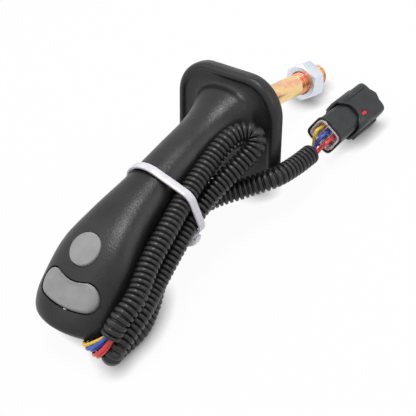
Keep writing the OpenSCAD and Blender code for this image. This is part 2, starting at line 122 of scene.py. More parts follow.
# %% [markdown]
# ## Surfaces from arrays
# Every piece is a grid of points: rings along one parameter, points round a ring along the
# other. One function closes the ends with a fan and turns all faces outward by the sign of the
# enclosed volume, so no piece is ever inside out.

# %% Grid helpers


def signed_power(v, p):
    """|v| to the power p, with v's sign: it squares off a circle's cosine and sine."""
    return np.sign(v) * np.abs(v) ** p


def catmull(points, steps):
    """Catmull-Rom through the rows of points: cubic pieces whose slope at a point is half the
    step between its neighbours."""
    p = np.asarray(points, float)
    p = np.vstack([2 * p[0] - p[1], p, 2 * p[-1] - p[-2]])
    t = (np.arange(steps) / steps)[None, :, None]
    a, b, c, d = (p[i:len(p) - 3 + i, None] for i in range(4))
    q = 0.5 * (2 * b + (c - a) * t + (2 * a - 5 * b + 4 * c - d) * t ** 2
               + (3 * b - a - 3 * c + d) * t ** 3)
    return np.vstack([q.reshape(-1, p.shape[1]), p[-2]])


def evenly(points, step):
    """The same line with a point every step of its length."""
    p = np.asarray(points, float)
    s = np.concatenate([[0], np.cumsum(np.linalg.norm(np.diff(p, axis=0), axis=1))])
    new = np.linspace(0, s[-1], max(2, int(round(s[-1] / step)) + 1))
    return np.stack([np.interp(new, s, p[:, k]) for k in range(3)], -1), new


def directions(path):
    """Unit tangents by central differences."""
    t = np.gradient(path, axis=0)
    return t / np.linalg.norm(t, axis=1, keepdims=True)


def rolling_frames(path):
    """Two directions square to the path, carried along it with the least twist."""
    t = directions(path)
    u = np.empty_like(t)
    seed = np.cross(t[0], [0, 0, 1.0])
    if np.linalg.norm(seed) < 0.2:
        seed = np.cross(t[0], [1.0, 0, 0])
    for i, tangent in enumerate(t):
        seed = seed - (seed @ tangent) * tangent
        seed = seed / np.linalg.norm(seed)
        u[i] = seed
    return u, np.cross(t, u)


def swept(path, radius, sides):
    """Tube: point = path + r (cos a u + sin a v), with r given for each ring."""
    u, v = rolling_frames(path)
    a = np.arange(sides) / sides * 2 * np.pi
    r = np.broadcast_to(radius, len(path))[:, None, None]
    return path[:, None] + r * (np.cos(a)[None, :, None] * u[:, None]
                                + np.sin(a)[None, :, None] * v[:, None])


def turned(profile, sides):
    """Lathe: a profile of (radius, height) rows turned about z."""
    a = np.arange(sides) / sides * 2 * np.pi
    r, z = np.asarray(profile, float).T
    return np.stack([r[:, None] * np.cos(a), r[:, None] * np.sin(a),
                     np.broadcast_to(z[:, None], (len(z), sides))], -1)


def pillow(size, squareness, rows=25, sides=48):
    """Squared-off ball: x = a C(v) C(u), y = b C(v) S(u), z = c S(v), with C and S the cosine
    and sine to a small power."""
    v = np.linspace(-np.pi / 2, np.pi / 2, rows)[1:-1, None]
    u = np.arange(sides)[None] / sides * 2 * np.pi
    cv, sv = signed_power(np.cos(v), squareness), signed_power(np.sin(v), squareness)
    cu, su = signed_power(np.cos(u), squareness), signed_power(np.sin(u), squareness)
    return np.stack([cv * cu, cv * su, sv * np.ones_like(u)], -1) * (np.asarray(size) / 2)


def closed(rings, loop=False):
    """Points and faces of a closed surface through rings of shape (rows, sides, 3)."""
    m, n, _ = rings.shape
    rows = m if loop else m - 1
    i, j = np.meshgrid(np.arange(rows), np.arange(n), indexing="ij")
    k, nxt = ((i + 1) % m) * n, (j + 1) % n
    quads = np.stack([i * n + j, i * n + nxt, k + nxt, k + j], -1).reshape(-1, 4)
    points = rings.reshape(-1, 3)
    tris = np.zeros((0, 3), int)
    if not loop:
        points = np.concatenate([points, rings[:1].mean(1), rings[-1:].mean(1)])
        e = np.arange(n)
        tris = np.concatenate([
            np.stack([np.full(n, m * n), (e + 1) % n, e], 1),
            np.stack([np.full(n, m * n + 1), (m - 1) * n + e, (m - 1) * n + (e + 1) % n], 1)])
    a, b, c, d = (points[quads[:, q]] for q in range(4))
    volume = np.einsum("ij,ij->", a, np.cross(b, c)) + np.einsum("ij,ij->", a, np.cross(c, d))
    if len(tris):
        a, b, c = (points[tris[:, q]] for q in range(3))
        volume += np.einsum("ij,ij->", a, np.cross(b, c))
    if volume < 0:
        quads, tris = quads[:, ::-1], tris[:, ::-1]
    return points, quads.tolist() + tris.tolist()


def piece(name, shapes, material, body, replaces=(), angle=40):
    """One named object from one or more closed shapes, in millimetres on the table."""
    points, faces, first = [], [], 0
    for p, f in shapes:
        points.append(p)
        faces += [[q + first for q in face] for face in f]
        first += len(p)
    mesh = bpy.data.meshes.new(name)
    mesh.from_pydata((np.concatenate(points) / 1000).tolist(), [], faces)
    mesh.shade_smooth()
    mesh.set_sharp_from_angle(angle=np.radians(angle))
    mesh.materials.append(material)
    obj = bpy.data.objects.new(name, mesh)
    bpy.context.scene.collection.objects.link(obj)
    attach(obj, body)
    if replaces:
        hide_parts(*replaces)
    print(f"{name}: {len(mesh.polygons)} faces")
    return obj


# %% [markdown]
# ## Finishes
# Plastic differs from plastic mostly in its grain and in how sharp its highlights are. One
# function mixes two near colours with a broad noise, as moulded plastic is never quite even,
# and presses a fine noise into the surface as spark-eroded grain. Metals get a tint that
# drifts, because zinc plating and its yellow passivation are thin films.

# %% Material helpers


def blank(name):
    """A material with its shader, and short ways to add and join nodes."""
    material = bpy.data.materials.new(name)
    material.use_nodes = True
    tree = material.node_tree
    return material, tree, tree.nodes["Principled BSDF"]


def add(tree, kind, **inputs):
    """A new node with some of its sockets set."""
    node = tree.nodes.new(kind)
    for key, value in inputs.items():
        node.inputs[key.replace("_", " ")].default_value = value
    return node


def noise(tree, scale, detail=2.0, roughness=0.5, stretch=(1, 1, 1)):
    """Noise on Object coordinates, in waves per metre, stretched along the axes."""
    place = tree.nodes.new("ShaderNodeTexCoord")
    turn = add(tree, "ShaderNodeMapping", Scale=stretch)
    found = add(tree, "ShaderNodeTexNoise", Scale=scale, Detail=detail, Roughness=roughness)
    tree.links.new(place.outputs["Object"], turn.inputs["Vector"])
    tree.links.new(turn.outputs[0], found.inputs["Vector"])
    return found.outputs["Fac"]


def mixed(tree, factor, stops):
    """Colour ramp through (position, colour) stops."""
    ramp = tree.nodes.new("ShaderNodeValToRGB")
    tree.links.new(factor, ramp.inputs[0])
    while len(ramp.color_ramp.elements) < len(stops):
        ramp.color_ramp.elements.new(0.5)
    for element, (position, colour) in zip(ramp.color_ramp.elements, stops):
        element.position = position
        element.color = (*colour, 1)
    return ramp.outputs[0]


def relief(tree, shader, height, strength, distance):
    """Presses a height pattern into the surface."""
    bump = add(tree, "ShaderNodeBump", Strength=strength, Distance=distance)
    tree.links.new(height, bump.inputs["Height"])
    tree.links.new(bump.outputs[0], shader.inputs["Normal"])


def rough_between(tree, shader, factor, low, high):
    """Roughness that drifts between two values with a pattern."""
    span = add(tree, "ShaderNodeMapRange", From_Min=0.3, From_Max=0.7, To_Min=low, To_Max=high)
    tree.links.new(factor, span.inputs["Value"])
    tree.links.new(span.outputs[0], shader.inputs["Roughness"])


def moulded(name, dark, light, rough=(0.4, 0.5), grain=1400, depth=0.00004, strength=0.5,
            spread=90, specular=0.5):
    """Moulded plastic: two near colours in broad clouds, fine grain pressed in."""
    material, tree, shader = blank(name)
    clouds = noise(tree, spread, 3)
    tree.links.new(mixed(tree, clouds, [(0.35, dark), (0.65, light)]), shader.inputs["Base Color"])
    rough_between(tree, shader, noise(tree, spread * 3, 2), *rough)
    relief(tree, shader, noise(tree, grain, 2), strength, depth)
    shader.inputs["Specular IOR Level"].default_value = specular
    return material


def plated(name, stops, rough=(0.18, 0.32), scale=120, stretch=(1, 1, 1), grain=900):
    """Plated metal: a thin film whose tint drifts through several colours."""
    material, tree, shader = blank(name)
    film = noise(tree, scale, 3, 0.6, stretch)
    tree.links.new(mixed(tree, film, stops), shader.inputs["Base Color"])
    shader.inputs["Metallic"].default_value = 1
    rough_between(tree, shader, noise(tree, scale * 3, 2), *rough)
    relief(tree, shader, noise(tree, grain, 2), 0.25, 0.00003)
    return material


# %% Materials of this handle
grip_black = moulded("grip_black", (0.011, 0.011, 0.012), (0.018, 0.018, 0.019),
                     (0.30, 0.40), 950, 0.00016, 1.0, 60, 0.34)
button_grey = moulded("button_grey", (0.29, 0.285, 0.285), (0.33, 0.325, 0.325),
                      (0.5, 0.6), 1800, 0.00002, 0.35, 140, 0.3)
conduit_black = moulded("conduit_black", (0.010, 0.010, 0.011), (0.016, 0.016, 0.017),
                        (0.28, 0.38), 900, 0.00003, 0.3, 200, 0.4)
connector_black = moulded("connector_black", (0.024, 0.025, 0.027), (0.035, 0.036, 0.038),
                          (0.36, 0.46), 1300, 0.00003, 0.35, 120, 0.32)
retainer_white = moulded("retainer_white", (0.62, 0.56, 0.60), (0.72, 0.67, 0.70),
                         (0.35, 0.45), 900, 0.00002, 0.25, 200)
lock_red = moulded("lock_red", (0.50, 0.02, 0.015), (0.62, 0.03, 0.02), (0.3, 0.4), 900,
                   0.00002, 0.25, 200)
tie_white = moulded("tie_white", (0.70, 0.68, 0.73), (0.80, 0.78, 0.83), (0.3, 0.4), 1100,
                    0.00002, 0.3, 180)
wire_yellow = moulded("wire_yellow", (0.80, 0.47, 0.02), (0.92, 0.60, 0.04), (0.28, 0.38),
                      700, 0.00002, 0.2, 150)
wire_blue = moulded("wire_blue", (0.03, 0.08, 0.50), (0.06, 0.13, 0.62), (0.28, 0.38),
                    700, 0.00002, 0.2, 150)
wire_red = moulded("wire_red", (0.70, 0.04, 0.03), (0.84, 0.07, 0.06), (0.28, 0.38),
                   700, 0.00002, 0.2, 150)
rubber_black = moulded("rubber_black", (0.02, 0.02, 0.02), (0.03, 0.03, 0.03), (0.6, 0.7))
screw_black = moulded("screw_black", (0.03, 0.03, 0.03), (0.05, 0.05, 0.05), (0.35, 0.45))
switch_black = moulded("switch_black", (0.02, 0.02, 0.02), (0.03, 0.03, 0.03), (0.3, 0.4))
switch_blue = moulded("switch_blue", (0.03, 0.08, 0.4), (0.05, 0.1, 0.5), (0.3, 0.4))
carrier_white = moulded("carrier_white", (0.7, 0.68, 0.6), (0.78, 0.76, 0.7), (0.4, 0.5))
board_green = moulded("board_green", (0.02, 0.16, 0.06), (0.03, 0.22, 0.09), (0.3, 0.4))
seal_brown = moulded("seal_brown", (0.4, 0.15, 0.05), (0.5, 0.2, 0.07), (0.5, 0.6))
yellow_zinc = plated("yellow_zinc", [(0.30, (0.80, 0.62, 0.20)), (0.45, (0.92, 0.66, 0.32)),
                                     (0.55, (0.90, 0.45, 0.30)), (0.70, (0.66, 0.62, 0.28))],
                     (0.16, 0.3), 90, (1.4, 0.7, 1.4))
thread_zinc = plated("thread_zinc", [(0.30, (0.80, 0.48, 0.16)), (0.5, (0.80, 0.30, 0.18)),
                                     (0.70, (0.60, 0.22, 0.22))], (0.2, 0.34), 160)
zinc_blue = plated("zinc_blue", [(0.3, (0.66, 0.71, 0.80)), (0.7, (0.82, 0.85, 0.90))],
                   (0.26, 0.38), 70)
zinc_plate = plated("zinc_plate", [(0.3, (0.55, 0.56, 0.58)), (0.7, (0.68, 0.69, 0.7))])
spring_steel = plated("spring_steel", [(0.3, (0.55, 0.55, 0.57)), (0.7, (0.65, 0.65, 0.66))])
brass = plated("brass", [(0.3, (0.70, 0.52, 0.22)), (0.7, (0.8, 0.62, 0.3))])
FINISH = {
    "grip_black": grip_black, "screw_black": screw_black, "brass": brass,
    "zinc_plate": zinc_plate, "yellow_zinc": yellow_zinc, "zinc_blue": zinc_blue,
    "button_grey": button_grey, "switch_blue": switch_blue, "spring_steel": spring_steel,
    "switch_black": switch_black, "carrier_white": carrier_white, "board_green": board_green,
    "rubber_black": rubber_black, "wire_yellow": wire_yellow, "wire_blue": wire_blue,
    "wire_red": wire_red, "conduit_black": conduit_black, "tie_white": tie_white,
    "connector_black": connector_black, "retainer_white": retainer_white,
    "lock_red": lock_red, "seal_brown": seal_brown}
for row in frame["record"]["subparts"]:
    mesh = nodes[row["node"]].data
    mesh.materials.clear()
    mesh.materials.append(FINISH[row["material_slot"]])
print(len(FINISH), "finishes on", len(nodes), "CAD nodes")

# %% [markdown]
# ## The conduit and its wires
# Split conduit is a thin tube with a rib about every three millimetres, which lets it fold
# almost flat on itself. The route is a short list of round points with a smooth curve through
# them. The ribs are a radius that rises and falls along that curve's length.

# %% Routes: the conduit's points are the CAD source's, the loose wires rise a little higher
CONDUIT = np.array([
    [-34.6, 149.8, 24], [-36.4, 141.5, 30], [-36.4, 127, 33.2], [-31, 107.5, 38],
    [-27.3, 85.5, 42.5], [-22.9, 62, 45.5], [-21, 38, 49], [-22, 22, 52], [-25, 13, 52],
    [-31, 9, 50], [-34, 14, 45], [-31.5, 26, 41], [-27.5, 42, 37], [-25.5, 62, 32.5],
    [-27.5, 84, 27.5], [-30.8, 106, 23], [-35.7, 127, 20.6], [-36.2, 143, 17.6],
    [-35, 150.5, 14.3], [-32, 152.2, 9.4], [-30.2, 146, 6.8], [-31.2, 130, 6.4], [-27.6, 116, 8],
    [-22.5, 102, 12], [-18, 84, 18.5], [-15.7, 62, 24.6], [-19.5, 44, 23.5], [-31, 28, 23],
    [-43, 14, 24], [-45, -3, 19.5], [-44.5, -20, 15]])
LOOSE = np.array([
    [0, 29, 26], [0, 34, 20], [-1, 48, 20.3], [-1, 61, 20.8], [-1, 75, 19.6], [-6, 91, 9.5],
    [-15, 109, 3], [-19, 124, 1.4], [-17.5, 137, 2], [-15.5, 147, 5.6], [-19.4, 155, 11],
    [-26.5, 158.6, 17], [-32.4, 155.4, 21.8], [-34.6, 149.8, 24]])
CONDUIT_D, WIRE_D = 12.2, 2.1
RIB_PITCH, VALLEY, VALLEY_HALF, CROWN = 3.2, 1.3, 0.16, 0.12
print("routes of", len(CONDUIT), "and", len(LOOSE), "points")

# %% Conduit with ribs
conduit_path, along = evenly(catmull(CONDUIT, 24), RIB_PITCH / 10)


def rib_radius(s):
    """Broad round ribs with narrow valleys: the radius drops in a bell curve of the distance to
    the nearest valley, and each rib is a little crowned."""
    off = np.abs(np.mod(s / RIB_PITCH + 0.5, 1) - 0.5)
    crown = CROWN * np.cos(2 * np.pi * off)
    return CONDUIT_D / 2 - 0.1 - crown - VALLEY * np.exp(-(off / VALLEY_HALF) ** 4)


conduit_rings = on_table(swept(conduit_path, rib_radius(along), 24))
conduit = piece("conduit_ribbed", [closed(conduit_rings)], conduit_black, "handle",
                ["conduit"], 60)

# %% [markdown]
# Five wires leave the grommet side by side, gather into a bunch, run through the whole conduit
# and spread again into the connector. Each wire is one unbroken tube, as the real one is, so
# its path is the shared route plus an offset that changes from a row to a ring of five. Each
# wire ends in its own way of the connector, whose place and turns are therefore needed here.

# %% Wires
PLUG_AT = np.array([-46, -30.6, 19.9])
PLUG_TURN, PLUG_PITCH, PLUG_ROLL = np.radians([-2.5, 9, -37])
WAYS = [(-4.5, 2.5), (-4.5, -2.5), (0, 2.5), (0, -2.5), (4.5, 2.5)]
EMPTY_WAY = (4.5, -2.5)
BUNCH_R, LANE = 0.9 * WIRE_D, WIRE_D + 0.2
BUNCH_TURN = np.radians([162, 234, 90, 306, 18])
BUNCH = BUNCH_R * np.stack([np.cos(BUNCH_TURN), np.sin(BUNCH_TURN)], -1)
LOOSE_STEPS, GATHER = 8, 24
LEAN_FROM, LEAN_OVER, LEANED = 8.2, 1.6, [0.82, 0, 0.57]


def in_plug(points):
    """Connector frame to the table frame: a roll about its length, a small pitch that lifts its
    rear, a turn about z, then a shift."""
    x, y, z = np.moveaxis(np.asarray(points, float), -1, 0)
    z, x = turned_by(z, x, PLUG_ROLL)
    y, z = turned_by(y, z, PLUG_PITCH)
    x, y = turned_by(x, y, PLUG_TURN)
    return np.stack([x, y, z], -1) + PLUG_AT


def wire_path(k):
    """Row of five between the ends of the loose stretch, ring of five inside the conduit. The
    row leans over towards the loop at the head. In the conduit, point = route + r (cos a u +
    sin a v), with a going evenly from the angle at the start to the one at the connector."""
    loose = catmull(LOOSE, LOOSE_STEPS)
    t = directions(loose)
    at = np.arange(len(loose)) / LOOSE_STEPS
    lean = np.clip((at - LEAN_FROM) / LEAN_OVER, 0, 1)[:, None]
    side = (1 - lean) * [1, 0, 0] + lean * LEANED
    side -= (side * t).sum(1, keepdims=True) * t
    side /= np.linalg.norm(side, axis=1, keepdims=True)
    rise = np.cross(side, t)
    i = np.arange(len(loose))
    w = np.minimum(1, np.minimum(i, i[::-1]) / GATHER)[:, None]
    lane = (1 + 0.9 * w * (1 - w)) * ((1 - w) * BUNCH[k] + w * [(k - 2) * LANE, 0])
    first = loose + lane[:, :1] * side + lane[:, 1:] * rise
    inside = evenly(catmull(CONDUIT, 12), 3)[0]
    u, v = rolling_frames(inside)
    start = first[-1] - loose[-1]
    end = np.array([BUNCH[k][0], 0, BUNCH[k][1]])
    turn = np.unwrap([np.arctan2(start @ v[0], start @ u[0]), np.arctan2(end @ v[-1], end @ u[-1])])
    a = np.linspace(*turn, len(inside))[:, None]
    middle = inside + BUNCH_R * (np.cos(a) * u + np.sin(a) * v)
    x, z = WAYS[k]
    last = catmull([middle[-1], middle[-1] + [0.6, -5, -1.4] + 0.1 * end,
                    *in_plug([(x, 3, z), (x, -3, z), (x, -8, z)])], 6)
    return evenly(np.vstack([first, middle[2:-2], last]), 1.6)[0]


for k, name, finish in [(4, "wire_yellow", wire_yellow), (2, "wire_blue", wire_blue),
                        (0, "wire_red", wire_red), (3, "wire_blue_two", wire_blue),
                        (1, "wire_red_two", wire_red)]:
    path = wire_path(k)
    piece(name + "_lead", [closed(on_table(swept(path, WIRE_D / 2, 10)))], finish,
                         "handle", [name])
    print(name, "length", round(np.linalg.norm(np.diff(path, axis=0), axis=1).sum()), "mm")

# %% [markdown]
# ## The moulded grip
# The grip is a loft: twelve cross-sections along the thumb face, each a squared-off oval that
# is fuller toward the thumb and rounder toward the fingers. The same rings run on over the
# flange's shallow floor, its raised rim and its far side, so neck and flange are one skin
# without a seam. Flat boxes with rounded edges would not give the slow change of width.

# %% Sections of the grip, in the handle frame
SECTIONS = np.array([
    [-24, -4, 0, 25, 22, 22, 2.4, 2.4], [-18.5, 6, 8, 20, 17.5, 18.5, 2.4, 2.4],
    [-9, 22, 19, 16, 15, 16, 2.3, 2.2], [0.5, 46, 22, 15.5, 14.5, 15.5, 2.3, 2.1],
    [12, 72, 25, 16.8, 15, 16, 2.4, 2.1], [24, 97, 33, 21.2, 17, 18, 2.5, 2],
    [37.8, 116.5, 46, 26.5, 19, 19, 2.6, 1.8], [57, 131, 52, 29.5, 20, 19, 2.7, 1.75],
    [67, 138, 56, 28.2, 18, 18, 2.6, 1.75], [73.5, 141.2, 58, 23.5, 14, 14, 2.4, 1.9],
    [77, 141.5, 58, 14, 9, 9, 2.2, 2], [78.5, 139.5, 58, 4, 4, 4, 2, 2]])
ROUND = 176
FLANGE_W, FLANGE_NEAR, FLANGE_FAR, FLANGE_R, FLANGE_T = 75, 31, 43, 23, 9
FLOOR_INSET, FLOOR_H, NECK_FROM = 7, 7.4, 10
FLARE = [(0.05, 0.72), (0.13, 0.42), (0.26, 0.2), (0.45, 0.08), (0.7, 0.02), (1, 0)]


def grip_rings(sections):
    """Ring: x = half width C(a), depth = d S(a) + d up, on a plane leaned by the section's
    angle, with C and S the cosine and sine to the power 2 / squareness."""
    face_y, face_z, lean, half, near, far, square, round_off = sections.T[:, :, None]
    a = np.arange(ROUND)[None] / ROUND * 2 * np.pi
    power = 2 / np.where(np.sin(a) > 0, round_off, square)
    across = half * signed_power(np.cos(a), power)
    deep = np.where(np.sin(a) > 0, far, near) * signed_power(np.sin(a), power) + near
    lean = np.radians(lean)
    return np.stack([across, face_y + deep * np.cos(lean), face_z - deep * np.sin(lean)], -1)


def flange_ring(inset, height):
    """Rounded square: straight runs and corner arcs, read off at the loft's own angles."""
    q = np.radians(np.arange(0, 91, 3))
    w, r = FLANGE_W / 2 - FLANGE_R, FLANGE_R - inset
    y0, y1 = FLANGE_R - FLANGE_NEAR, FLANGE_FAR - FLANGE_R
    corners = [np.stack([x + r * np.cos(q + turn), y + r * np.sin(q + turn)], -1)
               for x, y, turn in [(w, y1, 0), (-w, y1, np.pi / 2),
                                  (-w, y0, np.pi), (w, y0, 3 * np.pi / 2)]]
    outline = np.concatenate(corners + [corners[0][:1]])
    step = np.concatenate([[0], np.cumsum(np.linalg.norm(np.diff(outline, axis=0), axis=1))])
    fine = np.linspace(0, step[-1], 1200)[:-1]
    middle = np.array([0, (y0 + y1) / 2])
    line = np.stack([np.interp(fine, step, c) for c in outline.T], -1) - middle
    angle = np.unwrap(np.arctan2(line[:, 1], line[:, 0]))
    base = grip_rings(SECTIONS[:1])[0][:, :2] - [0, -2]
    want = np.unwrap(np.arctan2(base[:, 1], base[:, 0]))
    grow = np.linalg.norm(line, axis=1)
    span = np.concatenate([angle - 2 * np.pi, angle, angle + 2 * np.pi])
    reach = np.interp(want, span, np.tile(grow, 3))
    flat = middle + reach[:, None] * np.stack([np.cos(want), np.sin(want)], -1)
    return np.column_stack([flat, np.full(ROUND, height - FLANGE_T)])


RIM = [(6.3, 7.45), (5.7, 7.52), (5.2, 7.8), (4.8, 8.3), (4.3, 8.75), (3.7, 9), (3, 9),
       (2.2, 8.9), (1.4, 8.6), (0.7, 7.9), (0.2, 6.9), (0, 5.6), (0, 2.4), (0.15, 1.4),
       (0.6, 0.6), (1.4, 0.1), (2.4, 0), (6, 0), (6.01, 1.2), (6.02, 2.4), (9, 2.5), (14, 2.5)]
print("grip sections", len(SECTIONS), "and rim rings", len(RIM))

# %% Build the skin: the flare's rings go out from the neck (share) as they sink (share left)
loft = grip_rings(catmull(SECTIONS, 12))
neck = loft[NECK_FROM:][::-1]
base_ring = loft[NECK_FROM]
floor_ring = flange_ring(FLOOR_INSET, FLOOR_H)
flare = np.array([base_ring * (1 - out) + floor_ring * out for out, _ in FLARE])
for ring, (_, left) in zip(flare, FLARE):
    ring[:, 2] = floor_ring[0, 2] + left * (base_ring[:, 2] - floor_ring[0, 2])
skin = np.concatenate([neck, flare, [flange_ring(*r) for r in RIM]])
print("skin of", len(skin), "rings")

# %% [markdown]
# The buttons sit in pockets. Cutting a pocket through a fine grid by hand would leave a ragged
# edge, so a Boolean modifier takes a prism of the button's outline out of the skin, and the
# same tool parts the screwed rear cover from the grip with a thin gap.

# %% Button outlines and cutters
ROCKER_L, ROCKER_H, ROCKER_Y, HORN_D = 21, 8, 23.6, 19.6
BEND, BEND_Y = 44, ROCKER_Y + 1.6
DIP, DIP_HALF, END_ROOM = 0.9, 8, 0.018
POCKET_GAP, POCKET_FLOOR = 0.75, -14


def kidney(grow, count=120):
    """Kidney: a round-ended band of constant width round an arc, so its outline is two arcs,
    one wider and one narrower than the middle arc, and two half circles. The narrower one
    dips a little further, by a bell curve of x. The button is 1.8% shorter and its pocket 1.8%
    longer, which leaves the ends room to swing when the button tilts by 4 degrees."""
    half = ROCKER_H - 0.3
    swing = np.arcsin((ROCKER_L - half) / BEND)
    a = np.linspace(-swing, swing, count // 3)
    cap = np.linspace(0, np.pi, count // 6 + 2)[1:-1]

    def arc(r, q):
        return np.stack([r * np.sin(q), r * np.cos(q)], -1)

    right_end = arc(BEND, swing) + (half + grow) * arc(1, swing + cap)
    left_end = arc(BEND, -swing) + (half + grow) * arc(1, np.pi - swing + cap)
    line = np.concatenate([arc(BEND + half + grow, a), right_end,
                           arc(BEND - half - grow, a[::-1]), left_end])
    inner = np.linalg.norm(line, axis=1) < BEND
    line[:, 1] += np.where(inner, DIP * np.exp(-(line[:, 0] / DIP_HALF) ** 2), 0)
    line[:, 0] *= 1 + (END_ROOM if grow > 0 else -END_ROOM)
    return line[::-1] + [0, BEND_Y - BEND]


def circle(radius, count=96):
    """Circle round the origin."""
    a = np.arange(count) / count * 2 * np.pi
    return radius * np.stack([np.cos(a), np.sin(a)], -1)


def prism(outline, low, high):
    """Straight walls between two heights over an outline."""
    rings = [np.column_stack([outline, np.full(len(outline), h)]) for h in (low, high)]
    return closed(laid_down(from_head(np.array(rings))))


def cutter(name, shape):
    """A hidden solid for a Boolean modifier."""
    mesh = bpy.data.meshes.new(name)
    mesh.from_pydata((shape[0] / 1000).tolist(), [], shape[1])
    obj = bpy.data.objects.new(name, mesh)
    bpy.context.scene.collection.objects.link(obj)
    return obj


def slab(low, high):
    """Box between two corners of the thumb-face frame."""
    (x0, y0, z0), (x1, y1, z1) = low, high
    outline = np.array([[x0, y0], [x1, y0], [x1, y1], [x0, y1]])
    return prism(outline, z0, z1)


def carved(obj, tools):
    """The object's mesh with the tools taken out of it, after which the tools are deleted."""
    for tool in tools:
        cut = obj.modifiers.new(tool.name, "BOOLEAN")
        cut.object, cut.solver, cut.operation = tool, "EXACT", "DIFFERENCE"
    result = obj.evaluated_get(bpy.context.evaluated_depsgraph_get())
    mesh = bpy.data.meshes.new_from_object(result)
    obj.modifiers.clear()
    for tool in tools:
        bpy.data.objects.remove(tool)
    return mesh


print("kidney outline of", len(kidney(0)), "points")

# %% Cut the pockets and part the rear cover
SPLIT, COVER_Y, PARTING = -26, -24, 0.3
cutters = [
    cutter("pocket_kidney", prism(kidney(POCKET_GAP), POCKET_FLOOR, 20)),
    cutter("pocket_round", prism(circle(HORN_D / 2 + 0.4), -9.5, 20)),
    cutter("parting_flat", slab((-60, COVER_Y - PARTING, SPLIT - PARTING), (60, 90, SPLIT))),
    cutter("parting_end", slab((-60, COVER_Y - PARTING, SPLIT - 60), (60, COVER_Y, SPLIT)))]
shell = piece("grip_skin", [closed(laid_down(skin))], grip_black, "handle")
whole = carved(shell, cutters)


def loose_parts(mesh):
    """Labels each vertex with its connected part, by spreading the lowest label over edges."""
    edges = np.empty(len(mesh.edges) * 2, np.int32)
    mesh.edges.foreach_get("vertices", edges)
    a, b = edges.reshape(-1, 2).T
    label = np.arange(len(mesh.vertices))
    while True:
        low = np.minimum(label[a], label[b])
        new = label.copy()
        np.minimum.at(new, a, low)
        np.minimum.at(new, b, low)
        new = new[new]
        if (new == label).all():
            return label
        label = new


def part_of(mesh, keep, name):
    """A new mesh from the vertices where keep is true."""
    index = np.cumsum(keep) - 1
    points = np.empty(len(mesh.vertices) * 3)
    mesh.vertices.foreach_get("co", points)
    faces = [[int(index[v]) for v in p.vertices] for p in mesh.polygons if keep[p.vertices[0]]]
    new = bpy.data.meshes.new(name)
    new.from_pydata(points.reshape(-1, 3)[keep].tolist(), [], faces)
    new.shade_smooth()
    new.set_sharp_from_angle(angle=np.radians(32))
    new.materials.append(grip_black)
    return new


labels = loose_parts(whole)
names, counts = np.unique(labels, return_counts=True)
grip_label, cover_label = names[np.argsort(-counts, kind="stable")[:2]]
print("parts after the cuts:", len(names), "with points", np.sort(counts)[::-1][:2])
shell.data = part_of(whole, labels == grip_label, "grip_skin")
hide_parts("grip_body")
cover = bpy.data.objects.new("cover_skin", part_of(whole, labels == cover_label, "cover_skin"))
bpy.context.scene.collection.objects.link(cover)
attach(cover, "handle")
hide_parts("rear_cover")

# %% [markdown]
# ## The buttons
# The round button is a lathe with a soft edge. The kidney button follows the moulding's own
# curve, so its top is fitted to the loft: a low polynomial through the skin's points in the
# thumb-face frame, lifted a little, dished between its two lobes and rolled over at the rim.

# %% Round button
HORN_R, EDGE_R, EDGE_FROM, HOLLOW_R = HORN_D / 2, 0.8, -0.2, 8.4
edge = np.radians(np.linspace(0, 90, 9))
horn_profile = ([(0.01, -2.6), (HOLLOW_R, -2.6), (HOLLOW_R, -6), (HORN_R, -6), (HORN_R, EDGE_FROM)]
                + [(HORN_R - EDGE_R * (1 - np.cos(a)), EDGE_FROM + EDGE_R * np.sin(a))
                   for a in edge[1:]]
                + [(7.6, 0.78), (6, 0.86), (4, 0.94), (2, 0.98), (0.01, 1.0)])
piece("round_button", [closed(laid_down(from_head(turned(horn_profile, 96))))], button_grey,
      "horn", ["horn_cap"])

# %% Kidney button
near = to_head(grip_rings(catmull(SECTIONS, 12)).reshape(-1, 3))
near = near[(np.abs(near[:, 0]) < 25) & (near[:, 1] > 8) & (near[:, 1] < 42) & (near[:, 2] > -14)]
POWERS = [(i, j) for i in (0, 2, 4, 6) for j in range(5)]


def terms(x, y):
    """Even powers across, all powers along, scaled to about one."""
    return np.stack([(x / 25) ** i * ((y - 25) / 17) ** j for i, j in POWERS], -1)


fit = np.linalg.lstsq(terms(near[:, 0], near[:, 1]), near[:, 2], rcond=None)[0]
miss = terms(near[:, 0], near[:, 1]) @ fit - near[:, 2]
print("the fitted thumb face misses the skin by", np.sqrt((miss ** 2).mean()).round(2), "mm")
SHRINK = [1.0, 0.995, 0.98, 0.955, 0.92, 0.88, 0.8, 0.7, 0.58, 0.45, 0.32, 0.2, 0.1, 0.03]
THICK, LIFT, LOBE, DISH, ROLL, ROLL_SHARE, LIP = 2.6, 1.0, 1.5, 1.0, 1.5, 0.12, 1.7


def kidney_rings():
    """Rings shrink by a share s from the outline to the middle; height = face + lift + lobes -
    rim roll - lip. The lobes grow with x squared, the roll is a quarter circle in the outer
    share, and the lip slopes down at the middle of the far edge. The underside follows the
    face, so that the low ends stay clear of the pocket's floor when the button tilts."""
    middle = np.array([0, BEND_Y])
    outline = kidney(0)
    rows = [np.column_stack([outline, terms(*outline.T) @ fit - THICK])]
    for s in SHRINK:
        flat = middle + (outline - middle) * s
        x, y = flat.T
        level = terms(x, y) @ fit
        lobes = (LOBE * np.clip(np.abs(x) / 15, 0, 1) ** 2 - DISH) * min(1, (1 - s) / 0.3)
        turn = np.clip(s - (1 - ROLL_SHARE), 0, ROLL_SHARE) / ROLL_SHARE
        roll = ROLL * (1 - np.sqrt(np.clip(1 - turn ** 2, 0, 1)))
        v = (y - ROCKER_Y - 3.2) / ROCKER_H
        lip = LIP * np.clip((v - 0.42) / 0.5, 0, 1) * np.exp(-(x / 9) ** 4)
        rows.append(np.column_stack([flat, level + LIFT + lobes - roll - lip]))
    return np.array(rows)


